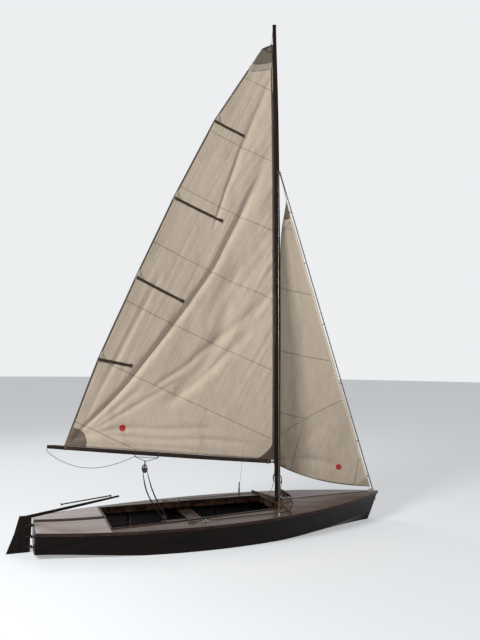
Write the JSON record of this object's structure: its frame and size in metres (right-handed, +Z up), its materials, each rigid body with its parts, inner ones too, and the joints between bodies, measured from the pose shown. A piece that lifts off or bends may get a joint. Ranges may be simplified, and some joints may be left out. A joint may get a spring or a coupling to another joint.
{
  "type": "wooden hard-chine sailing dinghy",
  "caption": "Decked wooden sailing dinghy afloat, with raked mast, stays, mainsail on a swinging boom, jib, steering rudder and lifting centreboard.",
  "frame": {"origin": "amidships on the centreline at the height of the water, on the mount waterline", "axes": "+X forward to the bow, +Y to port, +Z up"},
  "size_m": [5.3999, 1.6366, 8.0103],
  "materials": {
    "hull_mahogany": "gloss varnish",
    "deck_plywood": "gloss varnish",
    "inner_wood": "satin varnish",
    "spar_wood": "satin varnish",
    "sailcloth": "cotton-coloured woven cloth",
    "rigging_steel": "brushed",
    "block_plastic": "matt",
    "headboard_plate": "dull"
  },
  "bodies": {
    "hull": {"bottom_port": "hull_mahogany", "side_port": "hull_mahogany", "bottom_starboard": "hull_mahogany", "side_starboard": "hull_mahogany", "transom": "hull_mahogany", "stem": "hull_mahogany", "keel": "hull_mahogany", "coaming": "hull_mahogany", "mast": "spar_wood", "foredeck_port": "deck_plywood", "foredeck_starboard": "deck_plywood", "side_deck_port": "deck_plywood", "side_deck_starboard": "deck_plywood", "afterdeck_port": "deck_plywood", "afterdeck_starboard": "deck_plywood", "afterdeck_kingplank": "hull_mahogany", "foredeck_ridge": "hull_mahogany", "mast_collar": "hull_mahogany", "breakwater": "inner_wood", "rub_rail_port": "hull_mahogany", "rub_rail_starboard": "hull_mahogany", "aft_bulkhead": "inner_wood", "fore_bulkhead": "inner_wood", "frames": "inner_wood", "mast_step": "inner_wood", "centreboard_case": "inner_wood", "thwart": "inner_wood", "floorboards": "inner_wood", "mast_fittings": "rigging_steel", "lower_block": "block_plastic", "forestay": "rigging_steel", "chainplates": "rigging_steel", "shroud_port": "rigging_steel", "shroud_starboard": "rigging_steel", "stem_fitting": "rigging_steel", "bow_eye": "rigging_steel", "jib": "sailcloth", "jib_hanks": "rigging_steel", "mast_cleats": "block_plastic", "sheet_leads": "block_plastic", "gudgeons": "rigging_steel"},
    "boom": {"boom": "spar_wood", "boom_fittings": "rigging_steel", "upper_block": "block_plastic", "mainsail": "sailcloth", "battens": "spar_wood", "headboard": "headboard_plate"},
    "rudder": {"rudder_blade": "hull_mahogany", "rudder_cheeks": "hull_mahogany", "pintles": "rigging_steel", "tiller": "spar_wood", "tiller_extension": "rigging_steel"},
    "centreboard": {"centreboard": "hull_mahogany"}
  },
  "joints": [
    {"name": "boom_swing", "type": "hinge", "parent": "hull", "child": "boom", "pos_m": [0.7435, 0, 0.932], "axis": [-0.0145, 0, 0.9999], "range_deg": [-58, 58]},
    {"name": "rudder_steer", "type": "hinge", "parent": "hull", "child": "rudder", "pos_m": [-2.524, 0, 0.178], "axis": [0, 0, 1], "range_deg": [-38, 38]},
    {"name": "centreboard_pivot", "type": "hinge", "parent": "hull", "child": "centreboard", "pos_m": [0.33, 0, -0.06], "axis": [0, -1, 0], "range_deg": [0, 60]}
  ]
}
